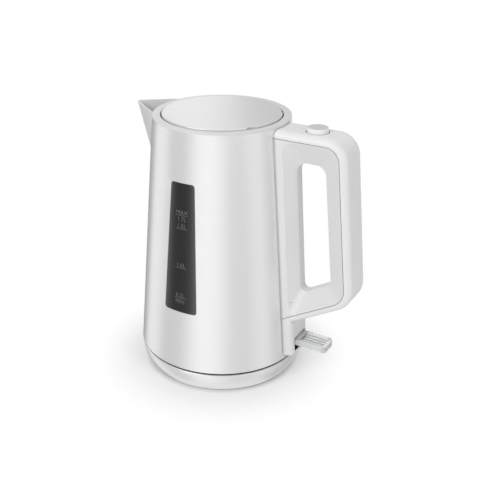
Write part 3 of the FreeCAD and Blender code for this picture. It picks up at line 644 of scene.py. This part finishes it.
def photo_camera():
    """Camera at the photograph's place, with its framing."""
    data = bpy.data.cameras.new("photo_camera")
    data.lens = CAMERA_LENS
    data.sensor_width = CAMERA_SENSOR
    data.shift_x, data.shift_y = CAMERA_SHIFT
    data.clip_start = CAMERA_NEAREST
    level = math.cos(CAMERA_ELEVATION)
    right = math.sin(CAMERA_AZIMUTH) * level
    front = -math.cos(CAMERA_AZIMUTH) * level
    side = Vector((right, front, math.sin(CAMERA_ELEVATION)))
    camera = placed("photo_camera", data)
    camera.location = CAMERA_AIM + CAMERA_DISTANCE * side
    camera.rotation_euler = (-side).to_track_quat("-Z", "Y").to_euler()
    bpy.context.scene.camera = camera


def soft_box(name, place, aim, size, power, mirrored):
    """Large area lamp pointed at a spot, which shows in shiny pieces or not."""
    data = bpy.data.lights.new(name, "AREA")
    data.shape = "RECTANGLE"
    data.size, data.size_y = size
    data.energy = power
    lamp = placed(name, data)
    lamp.location = place
    lamp.rotation_euler = (Vector(aim) - Vector(place)).to_track_quat("-Z", "Y").to_euler()
    lamp.visible_glossy = mirrored


def seen_directly(tree):
    """One for camera, glossy and transmitted rays, as a socket."""
    path = tree.nodes.new("ShaderNodeLightPath")
    shiny = math_node(tree, "MAXIMUM", path.outputs["Is Glossy Ray"], path.outputs["Is Transmission Ray"])
    return math_node(tree, "MAXIMUM", path.outputs["Is Camera Ray"], shiny)


def white_world():
    """White surroundings to look at, with a softer level of light from them."""
    world = bpy.data.worlds.new("white_room")
    world.use_nodes = True
    tree = world.node_tree
    sky = tree.nodes["Background"]
    sky.inputs["Color"].default_value = (1, 1, 1, 1)
    extra = math_node(tree, "MULTIPLY", seen_directly(tree), 1.0 - ROOM_LIGHT)
    tree.links.new(math_node(tree, "ADD", extra, ROOM_LIGHT), sky.inputs["Strength"])
    bpy.context.scene.world = world


def studio_paper():
    """Paper that keeps the kettle's shadow, with painted shade where the base comes near it, fades to
    plain white further out and is clear from below.
    """
    material, tree, shader = new_material("studio_paper")
    contact = tree.nodes.new("ShaderNodeAmbientOcclusion")
    contact.inputs["Distance"].default_value = CONTACT_REACH
    open_share = math_node(tree, "MULTIPLY", contact.outputs["AO"], CONTACT_SHADE)
    tone = math_node(tree, "ADD", open_share, 1.0 - CONTACT_SHADE)
    tree.links.new(toned(tree, FLOOR_PAPER, tone), shader.inputs["Base Color"])
    shader.inputs["Roughness"].default_value = FLOOR_ROUGHNESS
    shader.inputs["Specular IOR Level"].default_value = FLOOR_SHINE
    glow = tree.nodes.new("ShaderNodeEmission")
    place = tree.nodes.new("ShaderNodeTexCoord")
    away = tree.nodes.new("ShaderNodeVectorMath")
    away.operation = "LENGTH"
    tree.links.new(place.outputs["Object"], away.inputs[0])
    fade = tree.nodes.new("ShaderNodeMapRange")
    fade.interpolation_type = "SMOOTHSTEP"
    fade.inputs["From Min"].default_value, fade.inputs["From Max"].default_value = FLOOR_FADE
    tree.links.new(away.outputs["Value"], fade.inputs["Value"])
    blend = tree.nodes.new("ShaderNodeMixShader")
    share = math_node(tree, "MULTIPLY", fade.outputs["Result"], seen_directly(tree))
    tree.links.new(share, blend.inputs["Fac"])
    tree.links.new(shader.outputs["BSDF"], blend.inputs[1])
    tree.links.new(glow.outputs["Emission"], blend.inputs[2])
    side = tree.nodes.new("ShaderNodeNewGeometry")
    clear = tree.nodes.new("ShaderNodeBsdfTransparent")
    one_sided = tree.nodes.new("ShaderNodeMixShader")
    tree.links.new(side.outputs["Backfacing"], one_sided.inputs["Fac"])
    tree.links.new(blend.outputs["Shader"], one_sided.inputs[1])
    tree.links.new(clear.outputs["BSDF"], one_sided.inputs[2])
    tree.links.new(one_sided.outputs["Shader"], tree.nodes["Material Output"].inputs["Surface"])
    return material


def pale_floor():
    """Square of paper under the kettle, which shiny pieces don't mirror."""
    mesh = bpy.data.meshes.new("studio_floor")
    corners = [(x * FLOOR_REACH, y * FLOOR_REACH, 0) for x, y in ((-1, -1), (1, -1), (1, 1), (-1, 1))]
    mesh.from_pydata(corners, [], [(0, 1, 2, 3)])
    mesh.materials.append(studio_paper())
    floor = placed("studio_floor", mesh)
    floor.visible_glossy = False


def tent_panels(name, stops):
    """Glow that changes round the tent, from one panel's brightness to the next."""
    material, tree, shader = new_material(name)
    tree.nodes.remove(shader)
    material.cycles.emission_sampling = "NONE"
    axes = own_axes(tree)
    front = math_node(tree, "MULTIPLY", axes["Y"], -1.0)
    turn = math_node(tree, "ARCTAN2", axes["X"], front)
    share = math_node(tree, "ADD", math_node(tree, "DIVIDE", turn, math.tau), 0.5)
    panels = tree.nodes.new("ShaderNodeFloatCurve")
    curve = panels.mapping.curves[0]
    curve.points[0].location = (0, stops[0][1] / PANEL_RANGE)
    curve.points[1].location = (1, stops[-1][1] / PANEL_RANGE)
    for angle, level in stops:
        curve.points.new(angle / 360 + 0.5, level / PANEL_RANGE)
    panels.mapping.update()
    tree.links.new(share, panels.inputs["Value"])
    glow = tree.nodes.new("ShaderNodeEmission")
    strength = math_node(tree, "MULTIPLY", panels.outputs["Value"], PANEL_RANGE)
    tree.links.new(strength, glow.inputs["Strength"])
    tree.links.new(glow.outputs["Emission"], tree.nodes["Material Output"].inputs["Surface"])
    return material


def light_tent(name, edges, stops):
    """Ring of pale and grey panels that only reflections see."""
    ring = [math.tau * k / TENT_SIDES for k in range(TENT_SIDES)]
    points = [(TENT_RADIUS * math.sin(t), -TENT_RADIUS * math.cos(t), z) for z in edges for t in ring]
    faces = []
    for k in range(TENT_SIDES):
        after = (k + 1) % TENT_SIDES
        faces.append((k, after, TENT_SIDES + after, TENT_SIDES + k))
    mesh = bpy.data.meshes.new(name)
    mesh.from_pydata(points, [], faces)
    mesh.materials.append(tent_panels(name + "_panels", stops))
    tent = placed(name, mesh)
    for kind in ("camera", "diffuse", "transmission", "volume_scatter", "shadow"):
        setattr(tent, "visible_" + kind, False)


def studio():
    """Surroundings, floor, tents, lamps and view settings."""
    white_world()
    pale_floor()
    light_tent("low_tent", LOW_TENT, LOW_PANELS)
    light_tent("high_tent", HIGH_TENT, HIGH_PANELS)
    for lamp in LAMPS:
        soft_box(*lamp)
    bpy.context.scene.view_settings.view_transform = "Standard"


dress_solids()
level_marks()
arm_places = [(place, ARM_FACING) for place in ARM_SCREWS]
screw_drives("jug_screw_drives", ring_places(JUG_SCREWS) + arm_places, "jug")
screw_drives("base_screw_drives", ring_places(BASE_SCREWS), "base")
studio()
photo_camera()
